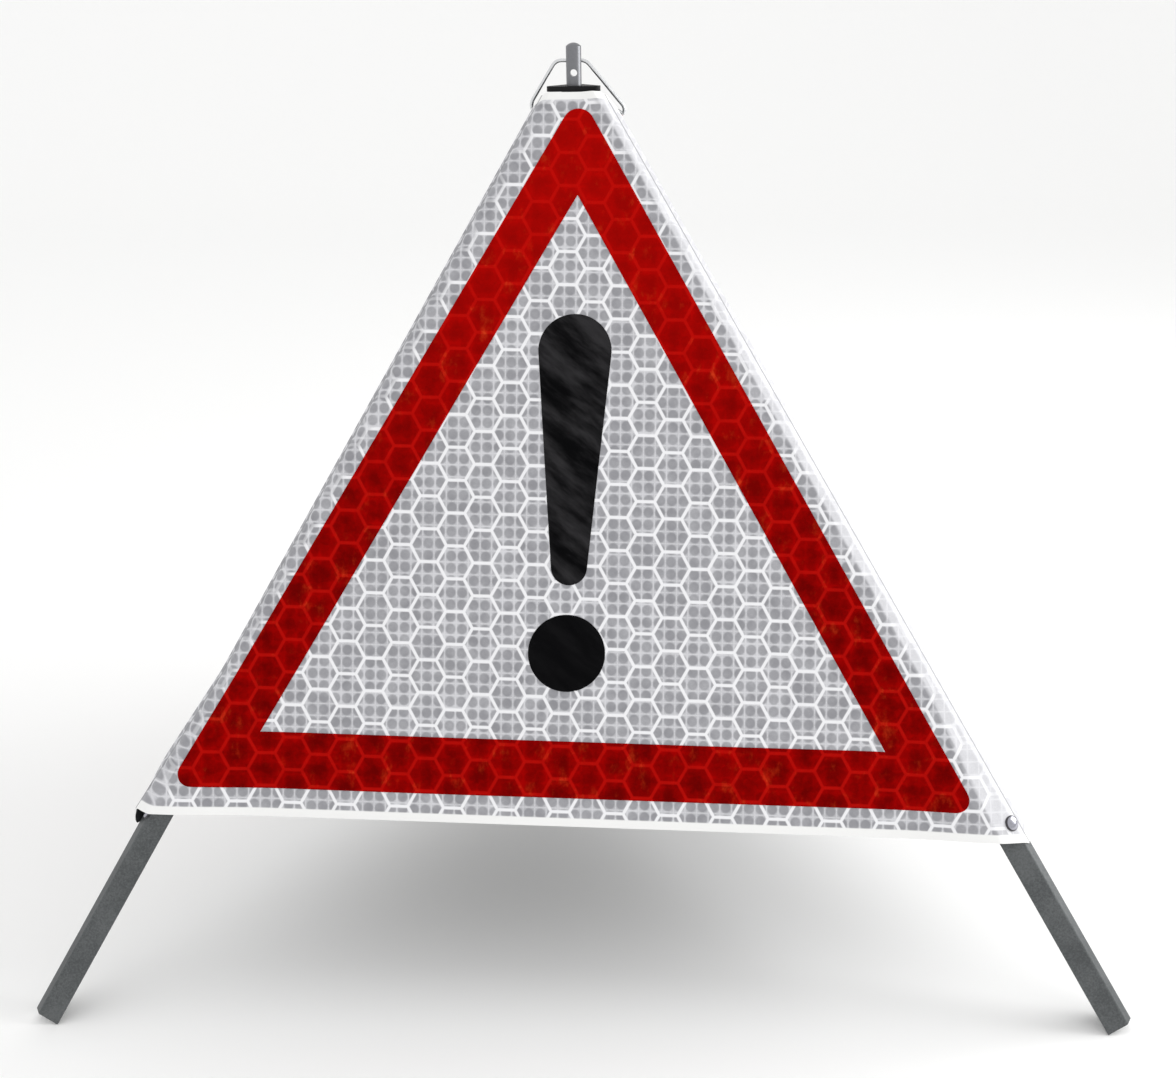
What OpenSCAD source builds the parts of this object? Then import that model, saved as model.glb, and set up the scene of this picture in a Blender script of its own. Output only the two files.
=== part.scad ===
// Folding three-sided warning sign: a tripod of channel legs hinged to a head,
// with a printed sheet on each side that creases outwards when the legs close.

/* [Sign face] */
// Length of one face along its hem, corner to corner
hem_side = 700; // [560:5:1000]
// Thickness of the reflective sheet
sheet_t = 1.2; // [0.6:0.1:2]
// Slant distance from the pointed apex to the top edge of the front face
front_top = 52; // [48:1:64]
// Slant distance from the pointed apex to the top edge of the side faces
side_top = 74; // [73:1:90]
// Width of the sheet's lap on each leg flange, past the nose corner
wrap_lap = 6; // [4:0.5:10]
// How far the corner wrap reaches below the hem
wrap_drop = 9; // [0:1:14]

/* [Printed figure] */
// Side of the red triangle, to its sharp corners
red_side = 630; // [500:5:640]
// Width of the red border
red_w = 40; // [25:1:60]
// Radius of the red border's outer corners
red_r = 10; // [4:1:20]
// Height of the red border above the hem
red_lift = 22; // [12:1:40]
// Thickness of the coloured film
film_t = 0.3; // [0.1:0.05:0.6]
// Width of the black bar at its top
bar_top_w = 57; // [40:1:70]
// Width of the black bar at its foot
bar_foot_w = 28; // [16:1:38]
// Height of the black bar
bar_h = 211; // [140:1:230]
// Gap between the bar and the dot
bar_gap = 23; // [10:1:40]
// Diameter of the dot
dot_d = 60; // [40:1:70]
// Height of the dot's centre above the red border's inner edge
dot_lift = 70; // [45:1:90]

/* [Legs] */
// Lean of each leg from the vertical
leg_lean = 34.54; // [33.5:0.02:35.5]
// Length of a leg from the pointed apex to its foot
leg_reach = 885; // [780:1:1200]
// Distance from the pointed apex to the top of the channel
channel_top = 82; // [81:1:100]
// Thickness of the leg's steel
leg_t = 2; // [1:0.1:3]
// Width of the flat nose, to its sharp corners
nose_w = 10; // [9:0.5:14]
// Width of each flange, from the nose corner
flange_w = 17; // [14:0.5:22]
// Outside radius of the bends
bend_r = 3; // [2.2:0.1:3.6]

/* [Head] */
// Radius of the circle on which the hinge pins sit
pivot_r = 27.5; // [26.5:0.25:28]
// Radius of a hinge pin
pin_r = 2.5; // [1.5:0.1:3.5]
// Thickness of a leg's tongue
tongue_t = 5; // [4:0.1:5.5]
// Depth of a leg's tongue, from the nose inwards
tongue_d = 14; // [12:0.5:15]
// Distance from the pointed apex to the lower end of a tongue
tongue_end = 132; // [125:1:170]
// Thickness of a clevis cheek
cheek_t = 3; // [2:0.1:3.5]
// Step from a clevis eye down to its arm
arm_step = 0.5; // [0.2:0.1:1.5]
// Radius of the hub's core
core_r = 10; // [9:0.1:11]
// Width of the cap along its front edge
cap_w = 42; // [36:1:50]
// Corner radius of the cap
cap_r = 5; // [3:0.5:8]
// Thickness of the cap
cap_t = 4; // [3:0.5:8]
// Radius of the lamp spigot
spigot_r = 6; // [5:0.5:7]
// Height of the lamp spigot above the cap
spigot_h = 32; // [30:1:60]
// Radius of the spigot's domed end
dome_r = 8; // [7.5:0.5:14]
// Radius of the spigot's cross hole
cross_r = 2.75; // [1.5:0.25:3.5]
// Height of the cross hole above the cap
cross_h = 9.5; // [8:0.5:16]
// Radius of the spigot's threaded tail
tail_r = 4; // [3:0.5:4.5]
// Radius of the tail's washer
washer_r = 8; // [7:0.5:8.5]
// Thickness of the tail's washer
washer_t = 1.6; // [1:0.1:2.5]
// Width of the tail's nut across its flats
nut_af = 13; // [12:0.5:14]
// Thickness of the tail's nut
nut_t = 6.5; // [5:0.5:8]

/* [Rivets] */
// Shank radius of a tongue rivet
tongue_rivet_r = 1.6; // [1:0.1:2]
// Distance between the two tongue rivets
tongue_rivet_pitch = 22; // [12:1:30]
// Shank radius of a corner rivet
corner_rivet_r = 2.4; // [1.5:0.1:3]
// Head radius of a corner rivet
corner_head_r = 5.5; // [4:0.25:6]
// Head height of a corner rivet
corner_head_h = 2.2; // [1.5:0.1:3]
// Height of a corner rivet above the lower end of its wrap
corner_rivet_up = 15.5; // [12:0.5:40]

/* [Carrying bail] */
// Radius of the bail's wire
wire_r = 1.5; // [1:0.1:2]
// Half width of the bail's top bar
bail_top_x = 13; // [10:0.5:18]
// Half width of the bail at its knees
bail_knee_x = 35; // [28:1:45]
// Height of the knees above the bail's pivot
bail_knee_h = 4; // [3.5:0.5:12]
// Height of the top bar above the cap
bail_bar_h = 19.5; // [16:0.5:24]
// Distance of the bail's pivot behind the spigot's axis
bail_back = 11; // [10.5:0.25:13]
// Depth of the bail's pivot below the cap's seat
bail_drop = 16; // [13:0.5:17]
// Length of lug on each side of the head that carries the bail
lug_x = 8; // [7:0.5:8.5]
// Radius of the lug around the bail's wire
lug_r = 3.5; // [3:0.1:4]

/* [Clearances] */
// Gap between the sheet and the legs
sheet_gap = 0.3; // [0.2:0.05:0.8]
// Gap between one sheet edge and the next
seam_gap = 0.4; // [0.2:0.05:1]
// Gap on each side of a tongue in its slot
tongue_gap = 0.2; // [0.1:0.05:0.4]
// Running gap of a pin or wire in its bore
run_gap = 0.05; // [0.02:0.01:0.1]
// Gap round a shank or tail in its hole
shank_gap = 0.1; // [0.05:0.05:0.2]
// Gap between a rounded tongue and the end of its slot
slot_gap = 1; // [0.5:0.1:1.2]
// Gap between the cap and the sheet's top edge
cap_gap = 0.5; // [0.3:0.1:2]
// Gap between the bail and the spigot, enough for a thin socket
bail_gap = 1.2; // [0.6:0.1:1.5]

/* [Hidden] */
$fn = 48;

// Legs and faces go round the axis in thirds of a turn.
third = 120;
LEFT = 0;
RIGHT = 1;
REAR = 2;
FRONT_FACE = 0;
RIGHT_FACE = 1;
LEFT_FACE = 2;
first_leg_turn = 210;

// Angles of the pyramid that follow from the lean of its legs.
face_lean = atan(tan(leg_lean) / 2);
face_half = acos(pow(cos(leg_lean), 2) - pow(sin(leg_lean), 2) / 2) / 2;
edge_half = atan(tan(third / 4) / cos(leg_lean));
slant = hem_side / 2 / tan(face_half);
hem_reach = hem_side / 2 / sin(face_half);

// Channel section: the nose lies this far inside the pyramid's edge.
nose_in = nose_w / 2 / tan(edge_half);
nose_side = nose_w / 2 / sin(edge_half);
bend_x = -nose_in - bend_r;
bend_y = ((nose_in + bend_r) * sin(edge_half) - bend_r) / cos(edge_half);
inwards = [-sin(edge_half), -cos(edge_half)];
along = [-cos(edge_half), sin(edge_half)];
nose_corner = [-nose_in, nose_w / 2];
flange_tip = nose_corner + flange_w * along;
flange_heel = flange_tip + leg_t * inwards;

// The feet stand on the flange heels, and the part's box is centred on the origin.
apex_z = leg_reach * cos(leg_lean) - flange_heel[0] * sin(leg_lean);
rear_y = leg_reach * sin(leg_lean) - nose_in * cos(leg_lean);
front_tip_r = leg_reach * sin(leg_lean) + flange_tip[0] * cos(leg_lean);
front_y = -front_tip_r * sin(third / 4) - flange_tip[1] * cos(third / 4);
axis_y = -(rear_y + front_y) / 2;

// Head heights are depths below the apex.
seat_depth = front_top * cos(face_lean) - cap_gap;
cap_top = seat_depth - cap_t;
tongue_x = -nose_in - leg_t;
pivot_x = tongue_x - tongue_d / 2;
pivot_s = (pivot_r - pivot_x * cos(leg_lean)) / sin(leg_lean);
pivot_depth = pivot_s * cos(leg_lean) - pivot_x * sin(leg_lean);
eye_r = tongue_d / 2;
arm_half = eye_r - arm_step;
hub_foot = pivot_depth + eye_r;
hub_h = hub_foot - seat_depth;
slot_w = tongue_t + 2 * tongue_gap;
clevis_w = slot_w + 2 * cheek_t;
slot_r = pivot_r - eye_r - slot_gap;
tail_end = hub_foot + washer_t + nut_t;
cap_corner = (cap_w / 2 - cap_r) / cos(third / 4);

// Shares of a rivet's shank radius that its head and its set end take.
tongue_head_share = 1.7;
tongue_tail_share = 0.8;
corner_tail_share = 1.6;
corner_set_share = 0.6;

// Corner rivets, tongue rivets and the wrap's ends are distances along a leg.
wrap_top = front_top / cos(face_half);
wrap_end = hem_reach + wrap_drop;
corner_rivet_s = wrap_end - corner_rivet_up;
tongue_rivet_s = (channel_top + tongue_end) / 2 - tongue_rivet_pitch / 2;
tongue_head_r = tongue_head_share * tongue_rivet_r;
tongue_sink = tongue_head_r - tongue_rivet_r;
tongue_tail_h = tongue_tail_share * tongue_rivet_r;
corner_tail_r = corner_tail_share * corner_rivet_r;
corner_tail_h = corner_set_share * corner_rivet_r;

// Bail: its own plane leans forwards from the pivot until the bar meets the spigot.
bail_depth = seat_depth + bail_drop;
bail_rise = bail_depth - cap_top + bail_bar_h;
bail_lean_y = bail_back - spigot_r - wire_r - bail_gap;
bail_lean = atan(bail_lean_y / bail_rise);
bail_h = bail_rise / cos(bail_lean);
bail_end_x = slot_w / 2 + 2 * tongue_gap;
knuckle_share = 1.02;
knuckle_r = knuckle_share * wire_r;

// Figure on the face, in slant distances below the apex. The red triangle has equal sides.
sheet_start = nose_side + wrap_lap + seam_gap;
red_half = third / 4;
red_foot = slant - red_lift;
red_top = red_foot - red_side / 2 / tan(red_half);
red_inner_foot = red_foot - red_w;
red_inner_top = red_top + red_w / sin(red_half);
red_inner_side = (red_inner_foot - red_inner_top) * tan(red_half);
red_corner = red_r / tan(red_half);
dot_v = red_inner_foot - dot_lift;
bar_foot = dot_v - dot_d / 2 - bar_gap;
bar_top_r = bar_top_w / 2;
bar_foot_r = bar_foot_w / 2;
film_base = sheet_gap + sheet_t;
beyond = 1;

module at_apex()
    translate([0, axis_y, apex_z])
        children();

module at_leg(k)
    at_apex()
        rotate([0, 0, first_leg_turn + third * k])
            rotate([0, -leg_lean, 0])
                children();

module at_face(k)
    at_apex()
        rotate([0, 0, third * k])
            rotate([90 - face_lean, 0, 0])
                children();

module at_pivot(k)
    at_apex()
        rotate([0, 0, first_leg_turn + third * k])
            translate([pivot_r, 0, -pivot_depth])
                rotate([90, 0, 0])
                    children();

// Area inside the bent section, drawn in from its outside by inset.
module section_area(inset, reach, tip) {
    r = bend_r - inset;
    nose_end = [bend_x + r, bend_y];
    bend_end = [bend_x, bend_y] - r * inwards;
    tip_out = nose_corner + reach * along + inset * inwards;
    tip_in = tip_out + tip * inwards;
    half = [nose_end, bend_end, tip_out, tip_in];
    other = [for (i = [len(half) - 1 : -1 : 0]) [half[i][0], -half[i][1]]];
    polygon(concat(half, other));
    for (side = [-1, 1])
        translate([bend_x, side * bend_y])
            circle(r);
}

// Bent strip of thickness t whose outside lies inset from the channel's outside.
module section_strip(inset, t, reach)
    difference() {
        section_area(inset, reach, t);
        section_area(inset + t, reach + leg_t + flange_w, 0);
    }

module nose_hole(s, r)
    translate([-nose_in, 0, -s])
        rotate([0, 90, 0])
            cylinder(h = 2 * (leg_t + film_base + beyond), r = r, center = true);

module leg(k)
    color("darkgray")
        at_leg(k)
            difference() {
                translate([0, 0, -leg_reach])
                    linear_extrude(leg_reach - channel_top)
                        section_strip(0, leg_t, flange_w);
                nose_hole(corner_rivet_s, corner_rivet_r + shank_gap);
                for (i = [0, 1]) {
                    nose_hole(tongue_rivet_s + i * tongue_rivet_pitch, tongue_rivet_r + shank_gap);
                    translate([-nose_in, 0, -tongue_rivet_s - i * tongue_rivet_pitch])
                        rotate([0, -90, 0])
                            cylinder(
                                h = tongue_sink,
                                r1 = tongue_head_r + shank_gap,
                                r2 = tongue_rivet_r + shank_gap
                            );
                }
            }

module tongue(k)
    color("silver")
        at_leg(k)
            difference() {
                union() {
                    translate([tongue_x - tongue_d, -tongue_t / 2, -tongue_end])
                        cube([tongue_d, tongue_t, tongue_end - pivot_s]);
                    translate([pivot_x, 0, -pivot_s])
                        rotate([90, 0, 0])
                            cylinder(h = tongue_t, r = eye_r, center = true);
                }
                translate([pivot_x, 0, -pivot_s])
                    rotate([90, 0, 0])
                        cylinder(h = tongue_t + 2 * beyond, r = pin_r + run_gap, center = true);
                for (i = [0, 1])
                    translate([pivot_x, 0, -tongue_rivet_s - i * tongue_rivet_pitch])
                        rotate([0, 90, 0])
                            cylinder(
                                h = tongue_d + 2 * beyond,
                                r = tongue_rivet_r + shank_gap,
                                center = true
                            );
            }

module tongue_rivets(k)
    color("gainsboro")
        at_leg(k)
            for (i = [0, 1])
                translate([-nose_in, 0, -tongue_rivet_s - i * tongue_rivet_pitch])
                    rotate([0, -90, 0]) {
                        cylinder(h = leg_t + tongue_d, r = tongue_rivet_r);
                        cylinder(h = tongue_sink, r1 = tongue_head_r, r2 = tongue_rivet_r);
                        translate([0, 0, leg_t + tongue_d])
                            cylinder(h = tongue_tail_h, r1 = tongue_t / 2, r2 = tongue_rivet_r);
                    }

module wrap(k)
    color("whitesmoke")
        at_leg(k)
            difference() {
                translate([0, 0, -wrap_end])
                    linear_extrude(wrap_end - wrap_top)
                        section_strip(-film_base, sheet_t, wrap_lap);
                nose_hole(corner_rivet_s, corner_rivet_r + shank_gap);
            }

module corner_rivet(k)
    color("gainsboro")
        at_leg(k)
            translate([-nose_in, 0, -corner_rivet_s])
                rotate([0, 90, 0]) {
                    translate([0, 0, -leg_t - corner_tail_h])
                        cylinder(h = corner_tail_h, r = corner_tail_r);
                    translate([0, 0, -leg_t])
                        cylinder(h = leg_t + film_base, r = corner_rivet_r);
                    translate([0, 0, film_base])
                        rivet_dome(corner_head_r, corner_head_h);
                }

// Part of a ball, r wide at its foot and h high.
module rivet_dome(r, h) {
    ball = (r * r + h * h) / (2 * h);
    rotate_extrude()
        intersection() {
            translate([0, h - ball])
                circle(ball);
            square([r, h]);
        }
}

module hinge_pin(k)
    color("silver")
        at_pivot(k)
            cylinder(h = clevis_w, r = pin_r, center = true);

module head_hub()
    color("dimgray")
        difference() {
            union() {
                at_apex()
                    translate([0, 0, -hub_foot])
                        cylinder(h = hub_h, r = core_r);
                for (k = [LEFT, RIGHT, REAR])
                    at_pivot(k) {
                        cylinder(h = clevis_w, r = eye_r, center = true);
                        translate([-pivot_r, -arm_half, -clevis_w / 2])
                            cube([pivot_r, 2 * arm_half, clevis_w]);
                    }
                at_apex()
                    translate([-lug_x, 0, -bail_depth - lug_r])
                        cube([2 * lug_x, bail_back + lug_r, 2 * lug_r]);
            }
            for (k = [LEFT, RIGHT, REAR])
                at_pivot(k) {
                    cylinder(h = clevis_w + 2 * beyond, r = pin_r + run_gap, center = true);
                    translate([slot_r - pivot_r, -hub_h, -slot_w / 2])
                        cube([pivot_r + eye_r, 2 * hub_h, slot_w]);
                }
            at_apex()
                translate([0, bail_back, -bail_depth])
                    rotate([0, 90, 0])
                        cylinder(h = 2 * lug_x + 2 * beyond, r = wire_r + run_gap, center = true);
            at_apex()
                translate([0, 0, -hub_foot - beyond])
                    cylinder(h = hub_h + 2 * beyond, r = tail_r + shank_gap);
        }

module head_cap()
    color([0.06, 0.06, 0.06])
        at_apex()
            translate([0, 0, -seat_depth])
                difference() {
                    linear_extrude(cap_t)
                        cap_area();
                    translate([0, 0, -beyond])
                        cylinder(h = cap_t + 2 * beyond, r = tail_r + shank_gap);
                }

// Triangle with round corners over the three legs.
module cap_area()
    hull()
        for (k = [LEFT, RIGHT, REAR])
            rotate(first_leg_turn + third * k)
                translate([cap_corner, 0])
                    circle(cap_r);

module lamp_spigot()
    color("silver")
        at_apex()
            difference() {
                union() {
                    translate([0, 0, -tail_end])
                        cylinder(h = tail_end - cap_top + beyond, r = tail_r);
                    translate([0, 0, -cap_top])
                        rotate_extrude()
                            intersection() {
                                square([spigot_r, spigot_h]);
                                union() {
                                    square([spigot_r, spigot_h - dome_r]);
                                    translate([0, spigot_h - dome_r])
                                        circle(dome_r);
                                }
                            }
                }
                translate([0, 0, cross_h - cap_top])
                    rotate([90, 0, 0])
                        cylinder(h = 2 * spigot_r + 2 * beyond, r = cross_r, center = true);
            }

module spigot_washer()
    color("gainsboro")
        at_apex()
            translate([0, 0, -hub_foot - washer_t])
                difference() {
                    cylinder(h = washer_t, r = washer_r);
                    translate([0, 0, -beyond])
                        cylinder(h = washer_t + 2 * beyond, r = tail_r + shank_gap);
                }

module spigot_nut()
    color("gainsboro")
        at_apex()
            translate([0, 0, -tail_end])
                difference() {
                    cylinder(h = nut_t, r = nut_af / 2 / cos(third / 4), $fn = 6);
                    translate([0, 0, -beyond])
                        cylinder(h = nut_t + 2 * beyond, r = tail_r + shank_gap);
                }

// Straight round wire from a to b in the bail's own plane.
module wire(a, b) {
    run = b - a;
    translate([a[0], 0, a[1]])
        rotate([0, atan2(run[0], run[1]), 0])
            cylinder(h = norm(run), r = wire_r);
}

module carry_bail()
    color("silver")
        at_apex()
            translate([0, bail_back, -bail_depth])
                rotate([bail_lean, 0, 0])
                    union() {
                        wire([-bail_top_x, bail_h], [bail_top_x, bail_h]);
                        for (side = [-1, 1]) {
                            top = [side * bail_top_x, bail_h];
                            knee = [side * bail_knee_x, bail_knee_h];
                            heel = [side * bail_knee_x, 0];
                            wire(top, knee);
                            wire(knee, heel);
                            wire(heel, [side * bail_end_x, 0]);
                            for (p = [top, knee, heel])
                                translate([p[0], 0, p[1]])
                                    sphere(knuckle_r);
                        }
                    }

// Right-hand half of one face, v down the slope from the apex.
module half_face(top) {
    function edge_u(v) = (v * sin(face_half) - sheet_start) / cos(face_half);
    polygon([
        [seam_gap / 2, -top],
        [edge_u(top), -top],
        [edge_u(slant), -slant],
        [seam_gap / 2, -slant]
    ]);
}

// Front face, or a side face whose top edge lies lower to let the bail through.
function face_top(k) = k == FRONT_FACE ? front_top : side_top;

module right_of_crease(k)
    translate([seam_gap / 2, -slant])
        square([hem_side / 2, slant - face_top(k)]);

module half_sheet(k, side)
    color("whitesmoke")
        at_face(k)
            mirror([side < 0 ? 1 : 0, 0, 0])
                translate([0, 0, sheet_gap])
                    linear_extrude(sheet_t)
                        half_face(face_top(k));

module on_sheet(k, side)
    at_face(k)
        mirror([side < 0 ? 1 : 0, 0, 0])
            translate([0, 0, film_base])
                linear_extrude(film_t)
                    intersection() {
                        children();
                        right_of_crease(k);
                    }

// Triangle with round corners, red_side long to its sharp corners.
module red_outline()
    hull() {
        translate([0, -red_top - red_r / sin(red_half)])
            circle(red_r);
        for (side = [-1, 1])
            translate([side * (red_side / 2 - red_corner), red_r - red_foot])
                circle(red_r);
    }

module half_red(k, side)
    color("crimson")
        on_sheet(k, side)
            difference() {
                red_outline();
                polygon([
                    [0, -red_inner_top],
                    [red_inner_side, -red_inner_foot],
                    [-red_inner_side, -red_inner_foot]
                ]);
            }

// Bar and dot of the exclamation mark: a round-ended tapering bar over a disc.
module mark_area() {
    hull() {
        translate([0, bar_h - bar_foot - bar_top_r])
            circle(bar_top_r);
        translate([0, bar_foot_r - bar_foot])
            circle(bar_foot_r);
    }
    translate([0, -dot_v])
        circle(dot_d / 2);
}

module half_mark(k, side)
    color([0.05, 0.05, 0.05])
        on_sheet(k, side)
            mark_area();

head_hub();
head_cap();
lamp_spigot();
spigot_washer();
spigot_nut();
carry_bail();
hinge_pin(LEFT);  // hinge_pin_left
hinge_pin(RIGHT);  // hinge_pin_right
hinge_pin(REAR);  // hinge_pin_rear
leg(LEFT);  // leg_left
leg(RIGHT);  // leg_right
leg(REAR);  // leg_rear
tongue(LEFT);  // tongue_left
tongue(RIGHT);  // tongue_right
tongue(REAR);  // tongue_rear
tongue_rivets(LEFT);  // tongue_rivets_left
tongue_rivets(RIGHT);  // tongue_rivets_right
tongue_rivets(REAR);  // tongue_rivets_rear
wrap(LEFT);  // wrap_left
wrap(RIGHT);  // wrap_right
wrap(REAR);  // wrap_rear
corner_rivet(LEFT);  // corner_rivet_left
corner_rivet(RIGHT);  // corner_rivet_right
corner_rivet(REAR);  // corner_rivet_rear
half_sheet(FRONT_FACE, -1);  // front_sheet_left
half_sheet(FRONT_FACE, 1);  // front_sheet_right
half_sheet(RIGHT_FACE, -1);  // right_sheet_front
half_sheet(RIGHT_FACE, 1);  // right_sheet_rear
half_sheet(LEFT_FACE, -1);  // left_sheet_rear
half_sheet(LEFT_FACE, 1);  // left_sheet_front
half_red(FRONT_FACE, -1);  // front_red_left
half_red(FRONT_FACE, 1);  // front_red_right
half_red(RIGHT_FACE, -1);  // right_red_front
half_red(RIGHT_FACE, 1);  // right_red_rear
half_red(LEFT_FACE, -1);  // left_red_rear
half_red(LEFT_FACE, 1);  // left_red_front
half_mark(FRONT_FACE, -1);  // front_mark_left
half_mark(FRONT_FACE, 1);  // front_mark_right
half_mark(RIGHT_FACE, -1);  // right_mark_front
half_mark(RIGHT_FACE, 1);  // right_mark_rear
half_mark(LEFT_FACE, -1);  // left_mark_rear
half_mark(LEFT_FACE, 1);  // left_mark_front
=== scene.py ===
import math

import bpy
import numpy as np
from mathutils import Matrix, Vector


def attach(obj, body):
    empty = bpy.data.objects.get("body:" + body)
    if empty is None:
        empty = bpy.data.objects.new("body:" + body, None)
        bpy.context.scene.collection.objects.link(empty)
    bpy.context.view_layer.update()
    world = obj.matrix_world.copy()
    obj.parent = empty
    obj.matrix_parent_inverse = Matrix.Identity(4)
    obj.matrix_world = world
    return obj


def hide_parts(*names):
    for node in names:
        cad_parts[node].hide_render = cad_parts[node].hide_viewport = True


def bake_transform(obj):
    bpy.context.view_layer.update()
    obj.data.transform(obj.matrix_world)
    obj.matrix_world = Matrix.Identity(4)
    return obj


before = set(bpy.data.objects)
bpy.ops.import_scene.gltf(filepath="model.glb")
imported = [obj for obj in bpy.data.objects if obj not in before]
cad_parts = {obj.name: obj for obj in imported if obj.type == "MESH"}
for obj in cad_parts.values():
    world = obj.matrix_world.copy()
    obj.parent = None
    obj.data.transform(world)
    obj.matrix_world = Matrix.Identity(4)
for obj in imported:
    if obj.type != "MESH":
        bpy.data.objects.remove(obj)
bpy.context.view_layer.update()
print("frame loaded")

# Lengths of the folding frame in metres and angles in degrees, as in the CAD
frameSize = {
    "legLean": 34.54,
    "apexHeight": 0.741590,
    "axisY": -0.120452,
    "hemSide": 0.700,
    "noseWidth": 0.010,
    "bendRadius": 0.003,
    "sheetStart": 0.01491,
    "sheetOutside": 0.0015,
    "halfCorner": 30,
    "firstLeg": 210,
    "thirdTurn": 120,
}

# The leg's lean gives the lean of a face, half its top angle, and half the angle between two
# faces in a cut across their leg. The slant runs from the apex to the middle of the hem.
legLean = math.radians(frameSize["legLean"])
faceLean = math.atan(math.tan(legLean) / 2)
faceHalf = math.acos(math.cos(legLean) ** 2 - math.sin(legLean) ** 2 / 2) / 2
edgeHalf = math.atan(math.tan(math.radians(frameSize["halfCorner"])) / math.cos(legLean))
slant = frameSize["hemSide"] / 2 / math.tan(faceHalf)
apex = np.array([0.0, frameSize["axisY"], frameSize["apexHeight"]])

# The leg's nose is set in from the pyramid's edge, and its bend has a centre at x, y. Then the
# unrolled distances q from that edge: to the bend, to the nose and to the nose's middle.
noseIn = frameSize["noseWidth"] / 2 / math.tan(edgeHalf)
bendRadius = frameSize["bendRadius"]
bendX = -noseIn - bendRadius
bendY = ((noseIn + bendRadius) * math.sin(edgeHalf) - bendRadius) / math.cos(edgeHalf)
wrapRadius = bendRadius + frameSize["sheetOutside"]
bendAngle = math.pi / 2 - edgeHalf
qBend = -(bendX * math.cos(edgeHalf) - bendY * math.sin(edgeHalf))
qNose = qBend - wrapRadius * bendAngle
noseMid = qNose - bendY


def turnedAboutZ(points, angle):
    c, s = math.cos(angle), math.sin(angle)
    x, y, z = points[..., 0], points[..., 1], points[..., 2]
    return np.stack([c * x - s * y, s * x + c * y, z], -1)


def faceTurn(face):
    return math.radians(frameSize["thirdTurn"] * face)


# Face frame: u to the right, v down the slope from the apex, h outwards
def onFace(face, u, v, h):
    lean, rise = math.sin(faceLean), math.cos(faceLean)
    local = np.stack([u, -lean * v - rise * h, -rise * v + lean * h], -1)
    return apex + turnedAboutZ(local, faceTurn(face))


# Leg frame: x outwards, y along the turn, s down the leg from the apex
def onLeg(leg, x, y, s):
    fall, spread = math.cos(legLean), math.sin(legLean)
    local = np.stack([fall * x + spread * s, y, spread * x - fall * s], -1)
    return apex + turnedAboutZ(local, math.radians(frameSize["firstLeg"] + frameSize["thirdTurn"] * leg))


# Distance in from the pyramid's edge at a place on a face
def inFromEdge(u, v):
    return v * math.sin(faceHalf) - np.abs(u) * math.cos(faceHalf)


# Place across a face at a distance in from the edge
def acrossAt(q, v):
    return (v * math.sin(faceHalf) - q) / math.cos(faceHalf)


def smooth(low, high, value):
    t = np.clip((value - low) / (high - low), 0, 1)
    return t * t * (3 - 2 * t)


# Section round the nose, from the lap to the centre line. Unrolled distance q from the
# pyramid's edge shrinks along the lap, then round the bend r a, then across the nose.
def wrapSection(q, lift):
    angle = bendAngle - np.clip((qBend - q) / wrapRadius, 0, bendAngle)
    lap = np.maximum(q - qBend, 0)
    across = np.maximum(qNose - q, 0)
    out = wrapRadius + lift
    x = bendX + out * np.cos(angle) - lap * math.cos(edgeHalf)
    y = bendY + out * np.sin(angle) + lap * math.sin(edgeHalf) - across
    return x, y


# Corner numbers of the quads between neighbouring rows and columns
def gridQuads(index):
    return np.stack([index[:-1, :-1], index[1:, :-1], index[1:, 1:], index[:-1, 1:]], -1).reshape(-1, 4)


def addMesh(name, points, faces, smoothFaces):
    mesh = bpy.data.meshes.new(name)
    mesh.from_pydata(points.tolist(), [], faces)
    mesh.polygons.foreach_set("use_smooth", smoothFaces)
    mesh.update()
    piece = bpy.data.objects.new(name, mesh)
    bpy.context.scene.collection.objects.link(piece)
    return piece


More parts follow.
